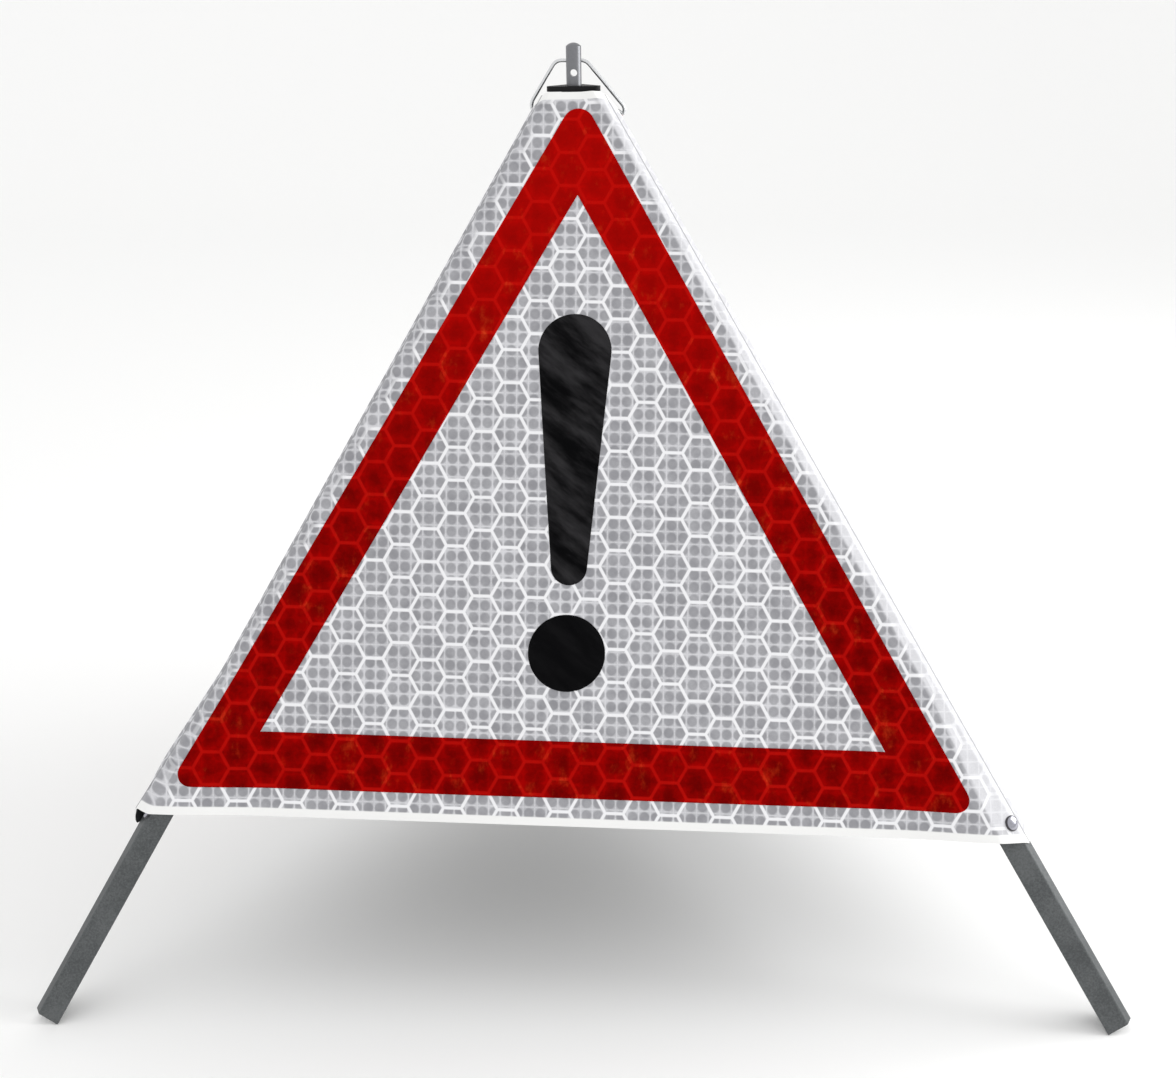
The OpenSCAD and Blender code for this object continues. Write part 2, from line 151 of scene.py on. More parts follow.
# Each grid of points gives an outside, an inside at one thickness along the normal
# n = dP/drow x dP/dcolumn, and a rim of quads that joins the two edges. The slots are the
# material numbers of the three.
def skinMesh(name, grids, thickness, outwards, slots=(0, 0, 0)):
    allPoints, allQuads, allSlots, rims = [], [], [], []
    layers = {key: [] for key in grids[0][1]}
    base = 0
    for points, maps in grids:
        normal = np.cross(np.gradient(points, axis=0), np.gradient(points, axis=1))
        normal /= np.linalg.norm(normal, axis=-1)[..., None]
        turned = np.sum(normal @ np.array(outwards)) < 0
        if turned:
            normal = -normal
        index = np.arange(points.shape[0] * points.shape[1]).reshape(points.shape[:2]) + base
        inside = index + index.size
        loop = np.concatenate([index[:-1, 0], index[-1, :-1], index[:0:-1, -1], index[0, :0:-1]])
        after = np.roll(loop, -1)
        rim = np.stack([after, loop, loop + index.size, after + index.size], -1)
        parts = [gridQuads(index), gridQuads(inside)[:, ::-1], rim]
        for part, slot in zip(parts, slots):
            allQuads.append(part[:, ::-1] if turned else part)
            allSlots.append(np.full(len(part), slot))
        rims.extend([np.stack([loop, after], -1), np.stack([loop, after], -1) + index.size])
        allPoints.extend([points.reshape(-1, 3), (points - thickness * normal).reshape(-1, 3)])
        for key, values in maps.items():
            layers[key].extend([values.reshape(-1, 3)] * 2)
        base += 2 * index.size
    quads = np.concatenate(allQuads)
    piece = addMesh(name, np.concatenate(allPoints), quads.tolist(), np.ones(len(quads), bool))
    mesh = piece.data
    mesh.polygons.foreach_set("material_index", np.concatenate(allSlots).astype(np.int32))
    for key, values in layers.items():
        attribute = mesh.attributes.new(key, "FLOAT_VECTOR", "POINT")
        attribute.data.foreach_set("vector", np.concatenate(values).reshape(-1).astype(np.float32))
    ends = np.zeros(len(mesh.edges) * 2, np.int32)
    mesh.edges.foreach_get("vertices", ends)
    keys = np.sort(ends.reshape(-1, 2), 1) @ [base, 1]
    rimKeys = np.sort(np.concatenate(rims), 1) @ [base, 1]
    mesh.edges.foreach_set("use_edge_sharp", np.isin(keys, rimKeys))
    return piece


def newMaterial(name):
    material = bpy.data.materials.new(name)
    material.use_nodes = True
    tree = material.node_tree
    return material, tree, tree.nodes["Principled BSDF"]


def feed(tree, socket, value):
    if isinstance(value, bpy.types.NodeSocket):
        tree.links.new(value, socket)
    else:
        socket.default_value = value


def reckon(tree, operation, a, b=0.0, clamp=False):
    node = tree.nodes.new("ShaderNodeMath")
    node.operation = operation
    node.use_clamp = clamp
    feed(tree, node.inputs[0], a)
    feed(tree, node.inputs[1], b)
    return node.outputs[0]


def times(tree, a, b, clamp=False):
    return reckon(tree, "MULTIPLY", a, b, clamp)


# a + b share
def addShare(tree, a, b, share, clamp=False):
    return reckon(tree, "ADD", a, times(tree, b, share), clamp)


# The Mix node takes numbers at its sockets 2 and 3, and colours at 6 and 7
def mixNumber(tree, share, a, b):
    node = tree.nodes.new("ShaderNodeMix")
    feed(tree, node.inputs[0], share)
    feed(tree, node.inputs[2], a)
    feed(tree, node.inputs[3], b)
    return node.outputs[0]


def mixColour(tree, share, a, b):
    node = tree.nodes.new("ShaderNodeMix")
    node.data_type = "RGBA"
    feed(tree, node.inputs[0], share)
    feed(tree, node.inputs[6], a)
    feed(tree, node.inputs[7], b)
    return node.outputs[2]


def stepBetween(tree, low, high, value):
    node = tree.nodes.new("ShaderNodeMapRange")
    node.interpolation_type = "SMOOTHSTEP"
    feed(tree, node.inputs[0], value)
    feed(tree, node.inputs[1], low)
    feed(tree, node.inputs[2], high)
    return node.outputs[0]


def noiseAt(tree, place, scale, detail=3.0, roughness=0.55):
    node = tree.nodes.new("ShaderNodeTexNoise")
    feed(tree, node.inputs["Vector"], place)
    node.inputs["Scale"].default_value = scale
    node.inputs["Detail"].default_value = detail
    node.inputs["Roughness"].default_value = roughness
    return node.outputs[0]


def stretched(tree, place, scale):
    node = tree.nodes.new("ShaderNodeVectorMath")
    node.operation = "MULTIPLY"
    feed(tree, node.inputs[0], place)
    node.inputs[1].default_value = scale
    return node.outputs[0]


def layerPlace(tree, layer):
    node = tree.nodes.new("ShaderNodeAttribute")
    node.attribute_name = layer
    return node.outputs["Vector"]


def objectPlace(tree):
    return tree.nodes.new("ShaderNodeTexCoord").outputs["Object"]


def splitPlace(tree, place):
    node = tree.nodes.new("ShaderNodeSeparateXYZ")
    feed(tree, node.inputs[0], place)
    return node.outputs[0], node.outputs[1], node.outputs[2]


def joinPlace(tree, x, y, z=0.0):
    node = tree.nodes.new("ShaderNodeCombineXYZ")
    feed(tree, node.inputs[0], x)
    feed(tree, node.inputs[1], y)
    feed(tree, node.inputs[2], z)
    return node.outputs[0]


def addBump(tree, shader, height, strength, distance):
    node = tree.nodes.new("ShaderNodeBump")
    node.inputs["Strength"].default_value = strength
    node.inputs["Distance"].default_value = distance
    feed(tree, node.inputs["Height"], height)
    tree.links.new(node.outputs[0], shader.inputs["Normal"])


def setFinish(shader, look):
    shader.inputs["Roughness"].default_value = look["roughness"]
    shader.inputs["Specular IOR Level"].default_value = look["specular"]


# Cells of the reflective sheeting, in metres: six-sided, flat at the top and a little
# narrower than regular. The edges of dots and weave are shares of the dots' step.
cellSize = {
    "tall": 0.02567,
    "wide": 0.04222,
    "line": 0.0025,
    "soft": 0.0012,
    "shiftX": 0.0074,
    "shiftY": 0.01926,
    "stepsAside": 40,
    "dots": 0.0095,
    "dotEdge": (0.53, 0.34),
    "weaveEdge": (0.40, 0.49),
    "middleShare": 0.42,
}


# Two rectangular lattices, half a step apart, hold the cell centres. The nearer centre
# gives the cell, and tall / 2 - max(|y|, |x| cos 30 + |y| / 2) is the distance to its side.
# Round dots in square rows, with a fine weave between them, run through all the cells.
def cellPattern(tree, u, v):
    tall = cellSize["tall"]
    wide = tall * math.sqrt(3)
    aside = cellSize["stepsAside"]  # keeps x and y above zero for the remainders
    fromLeft = reckon(tree, "ADD", u, cellSize["shiftX"] + aside * cellSize["wide"])
    x = times(tree, fromLeft, wide / cellSize["wide"])
    y = reckon(tree, "ADD", v, cellSize["shiftY"] + aside * tall)

    def local(value, size, shift):
        moved = reckon(tree, "ADD", value, shift)
        return reckon(tree, "SUBTRACT", reckon(tree, "MODULO", moved, size), size / 2)

    def square(p, q):
        return reckon(tree, "ADD", times(tree, p, p), times(tree, q, q))

    ax, ay = local(x, wide, 0.0), local(y, tall, 0.0)
    bx, by = local(x, wide, wide / 2), local(y, tall, tall / 2)
    nearA = reckon(tree, "LESS_THAN", square(ax, ay), square(bx, by))
    px, py = mixNumber(tree, nearA, bx, ax), mixNumber(tree, nearA, by, ay)
    tallness = reckon(tree, "ABSOLUTE", py)
    sideways = times(tree, reckon(tree, "ABSOLUTE", px), math.cos(math.radians(30)))
    slanting = addShare(tree, sideways, tallness, 0.5)
    toSide = reckon(tree, "SUBTRACT", tall / 2, reckon(tree, "MAXIMUM", tallness, slanting))
    half, soft = cellSize["line"] / 2, cellSize["soft"] / 2
    line = stepBetween(tree, half + soft, half - soft, toSide)
    middle = stepBetween(tree, 0.0, tall * cellSize["middleShare"], toSide)

    # One tone for each whole cell
    cellX, cellY = reckon(tree, "SUBTRACT", x, px), reckon(tree, "SUBTRACT", y, py)
    steps = joinPlace(
        tree,
        reckon(tree, "ROUND", reckon(tree, "DIVIDE", cellX, wide / 2)),
        reckon(tree, "ROUND", reckon(tree, "DIVIDE", cellY, tall / 2)),
    )
    whole = tree.nodes.new("ShaderNodeTexWhiteNoise")
    whole.noise_dimensions = "2D"
    tree.links.new(steps, whole.inputs["Vector"])
    tone = whole.outputs["Value"]

    step = cellSize["dots"]
    dotX, dotY = local(x, step, 0.0), local(y, step, 0.0)
    fromDot = reckon(tree, "SQRT", square(dotX, dotY))
    dots = stepBetween(tree, *(step * edge for edge in cellSize["dotEdge"]), fromDot)
    farSide = reckon(tree, "MAXIMUM", reckon(tree, "ABSOLUTE", dotX), reckon(tree, "ABSOLUTE", dotY))
    weave = stepBetween(tree, *(step * edge for edge in cellSize["weaveEdge"]), farSide)
    return line, tone, dots, weave, middle


# Reflective white sheet with its hem bands, and painted light on the facets beside the right leg. A noise is
# its scale, detail and roughness, and a bump its strength and depth.
sheetColour = {
    "cell": (0.66, 0.66, 0.69, 1),
    "cellDark": (0.46, 0.46, 0.485, 1),
    "dot": (0.262, 0.262, 0.281, 1),
    "seam": (0.22, 0.22, 0.23, 1),
    "line": (0.85, 0.85, 0.87, 1),
    "band": (0.87, 0.87, 0.86, 1),
    "grain": (900.0, 2.0),
    "speck": (700.0, 3.0, 0.7),
    "speckEdge": (0.38, 0.62),
    "patch": (60.0, 3.0),
    "toneShare": 0.3,
    "patchShare": 0.7,
    "grainShare": 0.25,
    "darkEdge": (0.25, 0.95),
    "dotLeast": 0.30,
    "dotsUnderFacetLight": 0.8,
    "threadLeast": 0.05,
    "threadShare": 0.55,
    "speckShare": 0.22,
    "noseEdge": (0.010, 0.017),
    "noseLine": 0.3,
    "faceLine": 0.7,
    "facetLightShare": 0.32,
    "topBand": 0.0058,
    "hemBand": 0.0065,
    "bandSoft": 0.0006,
    "seamWide": 0.0011,
    "seamShare": 0.7,
    "roughness": 0.38,
    "specular": 0.25,
    "bump": (0.35, 0.0004),
}


def sheetMaterial():
    look = sheetColour
    material, tree, shader = newMaterial("reflectiveWhite")
    u, v, q = splitPlace(tree, layerPlace(tree, "sheetMap"))
    toTop, toHem, paintedFacetLight = splitPlace(tree, layerPlace(tree, "edgeAndLightMap"))
    place = joinPlace(tree, u, v)
    line, tone, dots, weave, _ = cellPattern(tree, u, v)
    grain = noiseAt(tree, place, *look["grain"])
    speck = stepBetween(tree, *look["speckEdge"], noiseAt(tree, place, *look["speck"]))
    patch = noiseAt(tree, place, *look["patch"])

    # Cells, darker in patches
    dark = addShare(tree, times(tree, tone, look["toneShare"]), patch, look["patchShare"])
    dark = stepBetween(tree, *look["darkEdge"], addShare(tree, dark, grain, look["grainShare"]))
    colour = mixColour(tree, dark, look["cell"], look["cellDark"])

    # Dots, fainter under the painted light on the facets, the weave between them and specks over both
    deep = times(tree, dots, reckon(tree, "ADD", look["dotLeast"], patch), True)
    deep = times(tree, deep, reckon(tree, "SUBTRACT", 1.0, times(tree, paintedFacetLight, look["dotsUnderFacetLight"])))
    colour = mixColour(tree, deep, colour, look["dot"])
    thread = times(tree, weave, addShare(tree, look["threadLeast"], speck, look["threadShare"]))
    colour = mixColour(tree, thread, colour, look["line"])
    colour = mixColour(tree, times(tree, speck, look["speckShare"]), colour, look["dot"])

    # Cell lines, fainter on the nose, and painted light on the facet beside the right leg, mixed towards the
    # line colour
    clear = stepBetween(tree, *look["noseEdge"], q)
    seen = times(tree, line, addShare(tree, look["noseLine"], clear, look["faceLine"]))
    colour = mixColour(tree, seen, colour, look["line"])
    colour = mixColour(tree, times(tree, paintedFacetLight, look["facetLightShare"]), colour, look["line"])

    # Bands along the edges and the seam on the nose
    soft = look["bandSoft"]
    topBand = stepBetween(tree, look["topBand"] + soft, look["topBand"] - soft, toTop)
    hemBand = stepBetween(tree, look["hemBand"] + soft, look["hemBand"] - soft, toHem)
    band = reckon(tree, "MAXIMUM", topBand, hemBand)
    colour = mixColour(tree, band, colour, look["band"])
    fromSeam = reckon(tree, "SUBTRACT", q, noseMid)
    seam = stepBetween(tree, look["seamWide"], look["seamWide"] / 2, fromSeam)
    colour = mixColour(tree, times(tree, seam, look["seamShare"]), colour, look["seam"])

    tree.links.new(colour, shader.inputs["Base Color"])
    setFinish(shader, look)
    raised = times(tree, line, reckon(tree, "SUBTRACT", 1.0, band))
    addBump(tree, shader, raised, *look["bump"])
    return material


# Red film over the same cells, with painted light towards the top of the border
redColour = {
    "cell": (0.37, 0.0006, 0.0004, 1),
    "cellDark": (0.135, 0.0001, 0.0001, 1),
    "line": (0.47, 0.0050, 0.0030, 1),
    "worn": (0.62, 0.055, 0.012, 1),
    "paintedLightRed": (0.55, 0.0030, 0.0015, 1),
    "patch": (45.0, 4.0),
    "cloud": (95.0, 5.0, 0.65),
    "cloudEdge": (0.34, 0.66),
    "middleShare": 0.45,
    "toneShare": 0.25,
    "cloudShare": 0.45,
    "dotShare": 0.3,
    "lineLeast": 0.35,
    "linePatch": 0.65,
    "litTopEdge": (0.46, 0.06),
    "litTopShare": 0.42,
    "wear": (60.0, 6.0, 0.7),
    "wearStretch": (1.0, 0.6, 1.0),
    "wearEdge": (0.54, 0.76),
    "wearLeast": 0.35,
    "wearLine": 0.45,
    "roughness": 0.36,
    "specular": 0.01,
    "bump": (0.2, 0.0003),
}


def redMaterial():
    look = redColour
    material, tree, shader = newMaterial("redFilm")
    u, v, _ = splitPlace(tree, layerPlace(tree, "sheetMap"))
    place = joinPlace(tree, u, v)
    line, tone, dots, _, middle = cellPattern(tree, u, v)
    patch = noiseAt(tree, place, *look["patch"])
    cloud = stepBetween(tree, *look["cloudEdge"], noiseAt(tree, place, *look["cloud"]))
    deep = addShare(tree, times(tree, middle, look["middleShare"]), tone, look["toneShare"])
    deep = addShare(tree, deep, cloud, look["cloudShare"], True)
    colour = mixColour(tree, deep, look["cell"], look["cellDark"])
    colour = mixColour(tree, times(tree, dots, look["dotShare"]), colour, look["cellDark"])
    shade = times(tree, line, addShare(tree, look["lineLeast"], patch, look["linePatch"]))
    colour = mixColour(tree, shade, colour, look["line"])
    # Painted light: the border is mixed towards a lighter red towards its top
    paintedTopLight = times(tree, stepBetween(tree, *look["litTopEdge"], v), look["litTopShare"])
    colour = mixColour(tree, paintedTopLight, colour, look["paintedLightRed"])
    wear = noiseAt(tree, stretched(tree, place, look["wearStretch"]), *look["wear"])
    lineWear = addShare(tree, look["wearLeast"], line, look["wearLine"])
    worn = times(tree, stepBetween(tree, *look["wearEdge"], wear), lineWear)
    colour = mixColour(tree, worn, colour, look["worn"])
    tree.links.new(colour, shader.inputs["Base Color"])
    setFinish(shader, look)
    addBump(tree, shader, line, *look["bump"])
    return material


# Black film of the mark, with a painted sheen in faint slanting streaks, fainter on the dot
markColour = {
    "black": (0.0014, 0.0014, 0.0018, 1),
    "paintedSheen": (0.029, 0.028, 0.030, 1),
    "along": (9.0, 7.0),
    "across": (26.0, 34.0),
    "noise": (1.4, 4.0, 0.6),
    "sheenEdge": (0.36, 0.70),
    "dotEdge": (0.43, 0.46),
    "dotShare": 0.15,
    "roughness": 0.45,
    "specular": 0.03,
    "bump": (0.12, 0.0003),
}


def markMaterial():
    look = markColour
    material, tree, shader = newMaterial("blackFilm")
    u, v, _ = splitPlace(tree, layerPlace(tree, "sheetMap"))
    (alongU, alongV), (acrossU, acrossV) = look["along"], look["across"]
    along = addShare(tree, times(tree, u, alongU), v, alongV)
    across = reckon(tree, "SUBTRACT", times(tree, u, acrossU), times(tree, v, acrossV))
    noise = noiseAt(tree, joinPlace(tree, along, across), *look["noise"])
    onDot = stepBetween(tree, *look["dotEdge"], v)
    strength = mixNumber(tree, onDot, 1.0, look["dotShare"])
    # Painted sheen: faint slanting streaks of a lighter black
    paintedSheen = times(tree, stepBetween(tree, *look["sheenEdge"], noise), strength)
    tree.links.new(mixColour(tree, paintedSheen, look["black"], look["paintedSheen"]), shader.inputs["Base Color"])
    setFinish(shader, look)
    addBump(tree, shader, paintedSheen, *look["bump"])
    return material


# Dull rolled steel of the legs, finely specked and cloudy
legColour = {
    "light": (0.125, 0.132, 0.135, 1),
    "dark": (0.062, 0.067, 0.069, 1),
    "speck": (620.0, 3.0, 0.65),
    "cloud": (26.0, 4.0, 0.6),
    "speckShare": 0.55,
    "cloudShare": 0.45,
    "toneEdge": (0.33, 0.68),
    "metal": 0.55,
    "roughness": 0.46,
    "roughVaries": 0.2,
    "bump": (0.15, 0.0002),
}


def legMaterial():
    look = legColour
    material, tree, shader = newMaterial("legSteel")
    place = objectPlace(tree)
    speck = noiseAt(tree, place, *look["speck"])
    cloud = noiseAt(tree, place, *look["cloud"])
    shade = addShare(tree, times(tree, speck, look["speckShare"]), cloud, look["cloudShare"])
    tone = stepBetween(tree, *look["toneEdge"], shade)
    tree.links.new(mixColour(tree, tone, look["dark"], look["light"]), shader.inputs["Base Color"])
    rough = addShare(tree, look["roughness"] - look["roughVaries"] / 2, speck, look["roughVaries"])
    tree.links.new(rough, shader.inputs["Roughness"])
    shader.inputs["Metallic"].default_value = look["metal"]
    addBump(tree, shader, speck, *look["bump"])
    return material


# Plain finishes: colour, roughness, metal and specular level
plainFinish = {
    "bandWhite": (sheetColour["band"], 0.42, 0.0, 0.5),
    "sheetBack": ((0.018, 0.019, 0.022, 1), 0.6, 0.0, 0.5),
    "hubSteel": ((0.20, 0.205, 0.21, 1), 0.45, 0.8, 0.5),
    "brightSteel": ((0.68, 0.69, 0.70, 1), 0.24, 1.0, 0.5),
    "spigotSteel": ((0.20, 0.203, 0.215, 1), 0.34, 0.85, 0.5),
    "rivetSteel": ((0.36, 0.36, 0.40, 1), 0.2, 1.0, 0.5),
    # Painted shade round the edge of the rivets' domes
    "rivetRimShade": ((0.035, 0.033, 0.040, 1), 0.4, 0.0, 0.5),
    "blackCap": ((0.010, 0.010, 0.011, 1), 0.5, 0.0, 0.15),
}

# Their fine grain: its lightest and darkest tones are shares of the colour
plainGrain = {
    "noise": (700.0, 3.0),
    "light": 1.12,
    "dark": 0.86,
    "roughVaries": 0.12,
    "bump": (0.12, 0.0002),
}


def plainMaterial(name):
    colour, roughness, metal, specular = plainFinish[name]
    material, tree, shader = newMaterial(name)
    grain = noiseAt(tree, objectPlace(tree), *plainGrain["noise"])
    light = tuple(min(1.0, c * plainGrain["light"]) for c in colour[:3]) + (1,)
    dark = tuple(c * plainGrain["dark"] for c in colour[:3]) + (1,)
    tree.links.new(mixColour(tree, grain, dark, light), shader.inputs["Base Color"])
    varies = plainGrain["roughVaries"]
    rough = addShare(tree, roughness - varies / 2, grain, varies)
    tree.links.new(rough, shader.inputs["Roughness"])
    shader.inputs["Metallic"].default_value = metal
    shader.inputs["Specular IOR Level"].default_value = specular
    addBump(tree, shader, grain, *plainGrain["bump"])
    return material


whiteSheet = sheetMaterial()
redFilm = redMaterial()
blackFilm = markMaterial()
legSteel = legMaterial()
plain = {name: plainMaterial(name) for name in plainFinish}
print("materials made")

# Each face half: its face, the side of the crease, its leg and that leg's body
leftLeg, rightLeg, rearLeg = range(3)
halves = {
    "front_left": (0, -1, leftLeg, "leg_left"),
    "front_right": (0, 1, rightLeg, "leg_right"),
    "right_front": (1, -1, rightLeg, "leg_right"),
    "right_rear": (1, 1, rearLeg, "leg_rear"),
    "left_rear": (2, -1, rearLeg, "leg_rear"),
    "left_front": (2, 1, leftLeg, "leg_left"),
}

# How each printed sheet sits on the frame: its hem slopes and its upright leans, in
# parts of a length, the upright about a point down the slope, and the whole moves down
sheetSeat = {
    "slopes": (0.0301, -0.0150, -0.0150),
    "leans": (0.0159, -0.0113, -0.0113),
    "drops": (0.0027, 0.0078, -0.0024),
    "leansAbout": 0.333,
}


def seatOf(face):
    slope, lean, drop = (sheetSeat[key][face] for key in ("slopes", "leans", "drops"))
    return slope, lean, drop, sheetSeat["leansAbout"]


# From the printed figure's own u, v to the face's: u - b (v - w), v + a u + d
def seated(face, u, v):
    slope, lean, drop, about = seatOf(face)
    return u - lean * (v - about), v + slope * u + drop


def unseated(face, u, v):
    slope, lean, drop, about = seatOf(face)
    ownU = (u + lean * (v - drop - about)) / (1 + slope * lean)
    return ownU, v - drop - slope * ownU


# Hem line of a face at u
def hemAt(face, u):
    slope, lean, drop, about = seatOf(face)
    return slant + drop + slope * (u + lean * (slant - about))


# Shape of the sheet, in metres: its top edges, its swell and ripple, the straight facet
# beside the nose, the loose left corner, and the counts of its grid
sheetShape = {
    "thickness": 0.0012,
    "frontTop": 0.052,
    "sideTop": 0.083,
    "noseTops": (0.052, 0.052, 0.070),
    "stillLeg": (0.018, 0.075),
    "stillTop": 0.06,
    "stillHem": 0.05,
    "billow": 0.0022,
    "billowWide": 0.62,
    "billowTall": 0.95,
    "billowAt": 0.40,
    "wave": 0.0006,
    "waveWide": 0.23,
    "waveTall": 0.17,
    "waveShift": 0.4,
    "hemLip": 0.0005,
    "lipEdge": (0.0075, 0.0055),
    "lipFade": 0.03,
    "facetInner": 0.0065,
    "facetTop": 0.012,
    "facetGrow": 0.0045,
    "facetGrowFrom": 0.05,
    "facetGrowOver": 0.45,
    "facetFoot": 0.008,
    "facetFootEdge": (0.50, 0.625),
    "facetSlope": 0.45,
    "facetFade": 0.090,
    "facetFadeShare": 0.7,
    "facetFadeLeast": 0.002,
    # Where the painted light on the right leg's facets begins and ends, about the facet's bend
    "facetLightEdge": (0.001, -0.002),
    "rearShare": 0.4,
    "sleeveLift": 0.0095,
    "sleeveStart": 0.505,
    "sleeveMost": 1.1,
    "sleeveFade": (0.085, 0.018),
    "sleeveDrop": 0.018,
    "sleeveCurl": 0.4,
    "dropNose": (0.003, 0.011),
    "dropFace": (0.070, 0.030),
    "dropHem": (0.93, 1.0),
    "bandDeep": 0.008,
    "bandRows": 4,
    "rows": 74,
    "openShare": 0.86,
    "openColumns": 25,
    "flatColumns": 46,
    "wrapColumns": 18,
    "areaColumn": 20,
    "rounds": 4,
}


def faceTop(name):
    return sheetShape["frontTop"] if name.startswith("front") else sheetShape["sideTop"]


# h(u, v) = outside + (billow cos cos + wave cos cos) m + lift, where m falls to zero at the edges
def faceHeight(name, u, v):
    size = sheetShape
    q = inFromEdge(u, v)
    inside = smooth(*size["stillLeg"], q)
    inside = inside * smooth(0, size["stillTop"], v - faceTop(name)) * smooth(0, size["stillHem"], slant - v)
    swell = size["billow"] * np.cos(u * 2 * math.pi / size["billowWide"])
    swell = swell * np.cos((v - size["billowAt"]) * 2 * math.pi / size["billowTall"])
    waveU, waveV = u * 2 * math.pi / size["waveWide"], v * 2 * math.pi / size["waveTall"]
    shifts = (size["waveShift"], -size["waveShift"])
    ripple = sum(size["wave"] * np.cos(waveU + shift) * np.cos(waveV) for shift in shifts)
    return frameSize["sheetOutside"] + inside * (swell + ripple) + cornerLift(name, q, v)


# Loose corner: the lift grows towards the hem and fades away from the leg. On the left
# leg it goes on round the nose, on the others it falls in a straight facet to the nose.
def cornerLift(name, q, v):
    size, leg = sheetShape, halves[name][2]
    if leg == leftLeg:
        start = size["sleeveStart"]
        grown = np.clip((v - start) / (slant - start), 0, size["sleeveMost"])
        return size["sleeveLift"] * grown * smooth(*size["sleeveFade"], q)
    share = size["rearShare"] if leg == rearLeg else 1.0
    inner, bendAt = size["facetInner"], facetBend(v)
    lift = share * size["facetSlope"] * (bendAt - inner)
    beyond = np.maximum(v * math.sin(faceHalf) - bendAt, size["facetFadeLeast"])
    fadeEnd = np.minimum(size["facetFade"], bendAt + size["facetFadeShare"] * beyond)
    return lift * np.clip((q - inner) / (bendAt - inner), 0, 1) * smooth(fadeEnd, bendAt, q)


# Distance in from the pyramid's edge at which the sheet turns towards the nose
def facetBend(v):
    size = sheetShape
    grown = size["facetGrow"] * np.clip((v - size["facetGrowFrom"]) / size["facetGrowOver"], 0, 1)
    return size["facetTop"] + grown + size["facetFoot"] * smooth(*size["facetFootEdge"], v)


# How far the loose left corner hangs below the hem, on the left face alone
def cornerDrop(name, q, part):
    if name != "left_front":
        return 0 * q
    size = sheetShape
    hanging = size["sleeveDrop"] * smooth(*size["dropNose"], q) * smooth(*size["dropFace"], q)
    return hanging * smooth(*size["dropHem"], part)


# Sheet grid: columns run from the crease across the face, round the bend and over the
# nose. In the flat cut v = s cos a + q sin a, with s down the leg and q in from the edge.
# A few rounds settle each column between the top edge and the sloping hem.
def sheetGrid(name):
    size = sheetShape
    face, side, leg, _ = halves[name]
    top, hinge = faceTop(name), frameSize["sheetStart"]
    length = slant - top
    bandDeep, bandRows = size["bandDeep"], size["bandRows"]
    band = np.linspace(0, bandDeep, bandRows)
    between = np.linspace(bandDeep, length - bandDeep, size["rows"] - 2 * bandRows)[1:-1]
    down = np.concatenate([band, between, length - band[::-1]])[:, None]
    part = down / length

    # Across the face, with closer columns near the leg
    openShare, openColumns = size["openShare"], size["openColumns"]
    closer = np.linspace(openShare, 1, size["flatColumns"] - openColumns + 1)[1:]
    share = np.concatenate([np.linspace(0, openShare, openColumns), closer])
    v = top + down + 0 * share
    for _ in range(size["rounds"]):
        u = share * (v * math.sin(faceHalf) - hinge) / math.cos(faceHalf)
        v = top + part * (hemAt(face, side * u) - top)
    toHem = (1 - part) * (hemAt(face, side * u) - top)
    q = inFromEdge(u, v)
    lip = size["hemLip"] * smooth(*size["lipEdge"], toHem) * smooth(hinge, hinge + size["lipFade"], q)
    hanging = cornerDrop(name, q, part)
    height = faceHeight(name, u, v) + lip - size["sleeveCurl"] * hanging
    hungU, hungV = u + hanging * math.sin(faceHalf), v + hanging * math.cos(faceHalf)
    flat = onFace(face, side * hungU, hungV, height)

    # Round the bend and over the nose
    qWrap = np.linspace(hinge, noseMid, size["wrapColumns"] + 1)[1:]
    noseTop = top + smooth(hinge, noseMid, qWrap) * (size["noseTops"][leg] - top)
    vWrap = top + down + 0 * qWrap
    qWrap = qWrap + 0 * vWrap
    for _ in range(size["rounds"]):
        uWrap = acrossAt(qWrap, vWrap)
        vWrap = noseTop + part * (hemAt(face, side * uWrap) - noseTop)
    s = (vWrap - qWrap * math.sin(faceHalf)) / math.cos(faceHalf)
    hanging = cornerDrop(name, qWrap, part)
    x, y = wrapSection(qWrap, cornerLift(name, qWrap, vWrap) - size["sleeveCurl"] * hanging)
    wrap = onLeg(leg, x, -side * y, s + hanging)

    # Maps for the materials, with the painted light on the right leg's facets, flat size and flat area
    uAll, vAll = side * np.concatenate([u, uWrap], 1), np.concatenate([v, vWrap], 1)
    qAll = np.concatenate([q, qWrap], 1)
    fall, bendAt = hemAt(face, uAll) - top, facetBend(vAll)
    # Painted light: the facet and nose beside the right leg are marked to be coloured lighter, as if lit
    # from the right
    facetLightFrom, facetLightTo = (bendAt + edge for edge in size["facetLightEdge"])
    paintedFacetLight = smooth(facetLightFrom, facetLightTo, qAll) * (leg == rightLeg)
    maps = {
        "sheetMap": np.stack([*unseated(face, uAll, vAll), qAll], -1),
        "edgeAndLightMap": np.stack([part * fall, (1 - part) * fall, paintedFacetLight], -1),
    }
    wide = np.abs(uAll[:, -1])
    flatSize = (float(wide.max()), float(vAll[-1].max() - top))
    area = float(np.sum((wide[1:] + wide[:-1]) / 2 * np.diff(vAll[:, size["areaColumn"]])))
    return np.concatenate([flat, wrap], 1), maps, flatSize, area


# Red border in the face frame, in metres
redShape = {
    "side": 0.630,
    "halfAngle": 29.83,
    "width": 0.0395,
    "footWidth": 0.0445,
    "tip": 0.0125,
    "corner": 0.010,
    "topGap": 0.009,
    "lift": 0.022,
    "proud": 0.00035,
    "thickness": 0.0003,
    "sideSteps": 99,
    "footSteps": 51,
    "across": 22,
    "fineSteps": 400,
    "arcSteps": 12,
    "arcSplit": 6,
}


